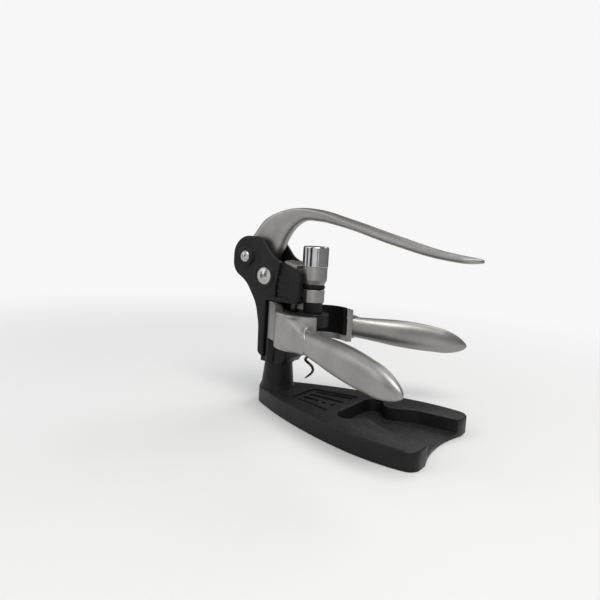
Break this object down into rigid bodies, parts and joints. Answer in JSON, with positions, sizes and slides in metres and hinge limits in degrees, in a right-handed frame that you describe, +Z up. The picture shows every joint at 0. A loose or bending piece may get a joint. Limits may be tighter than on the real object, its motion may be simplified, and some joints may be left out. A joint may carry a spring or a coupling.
{
  "type": "lever corkscrew on stand",
  "caption": "Lever-arm corkscrew with swing-out neck clamps and satin leaf handles, parked on a black moulded stand with recesses for its accessories.",
  "frame": {"origin": "flat underside of the stand, straight below the worm's axis", "axes": "+X towards the tips of the lever and handles, +Y towards the left-hand clamp, +Z up"},
  "size_m": [0.1929, 0.1695, 0.1534],
  "materials": {
    "stand_plastic": "fine grained black",
    "frame_black": "semi-matt black",
    "satin_zinc": "satin nickel",
    "bright_chrome": "polished",
    "fastener_steel": "bright",
    "dark_steel": "low-friction black coating",
    "black_rubber": "matt"
  },
  "bodies": {
    "stand": {"stand_tray": "stand_plastic", "stand_post": "stand_plastic", "post_screw": "fastener_steel"},
    "frame": {"side_plate_left": "frame_black", "side_plate_right": "frame_black", "lever_pivot_pin": "fastener_steel", "plate_bolts": "fastener_steel", "frame_column": "frame_black", "carriage_housing": "frame_black", "worm_guide": "frame_black", "clamp_hinge_pins": "fastener_steel"},
    "lever": {"lever_arm": "satin_zinc", "crank_pin": "fastener_steel", "crank_roller": "fastener_steel"},
    "carriage": {"carriage_slide": "satin_zinc", "post_cap": "bright_chrome", "post_sleeve": "satin_zinc", "rubber_ring": "black_rubber", "post_ring": "satin_zinc", "ring_screw": "dark_steel", "post_collar": "frame_black"},
    "worm": {"worm": "dark_steel", "worm_spindle": "fastener_steel", "worm_clip": "fastener_steel"},
    "clamp_left": {"clamp_jaw_left": "satin_zinc", "jaw_pad_left": "black_rubber", "handle_grip_left": "satin_zinc"},
    "clamp_right": {"clamp_jaw_right": "satin_zinc", "jaw_pad_right": "black_rubber", "handle_grip_right": "satin_zinc"}
  },
  "joints": [
    {"name": "frame_lift", "type": "slide", "parent": "stand", "child": "frame", "axis": [0, 0, 1], "range_m": [0, 0.03]},
    {"name": "lever_swing", "type": "hinge", "parent": "frame", "child": "lever", "pos_m": [-0.0563, 0, 0.114], "axis": [0, -1, 0], "range_deg": [0, 115]},
    {"name": "carriage_lift", "type": "slide", "parent": "frame", "child": "carriage", "axis": [0, 0, 1], "range_m": [0, 0.04723]},
    {"name": "worm_spin", "type": "hinge", "parent": "carriage", "child": "worm", "pos_m": [0, 0, 0.06], "axis": [0, 0, 1], "range_deg": [0, 1083]},
    {"name": "clamp_left_swing", "type": "hinge", "parent": "frame", "child": "clamp_left", "pos_m": [-0.0295, 0.0096, 0.067], "axis": [0, 0, -1], "range_deg": [-6, 33]},
    {"name": "clamp_right_swing", "type": "hinge", "parent": "frame", "child": "clamp_right", "pos_m": [-0.0295, -0.0096, 0.067], "axis": [0, 0, 1], "range_deg": [-22, 17]}
  ],
  "couplings": [
    {"joint": "lever_swing", "follows": "carriage_lift", "rad_per_m": 42.497},
    {"joint": "worm_spin", "follows": "carriage_lift", "rad_per_m": 400.21}
  ]
}
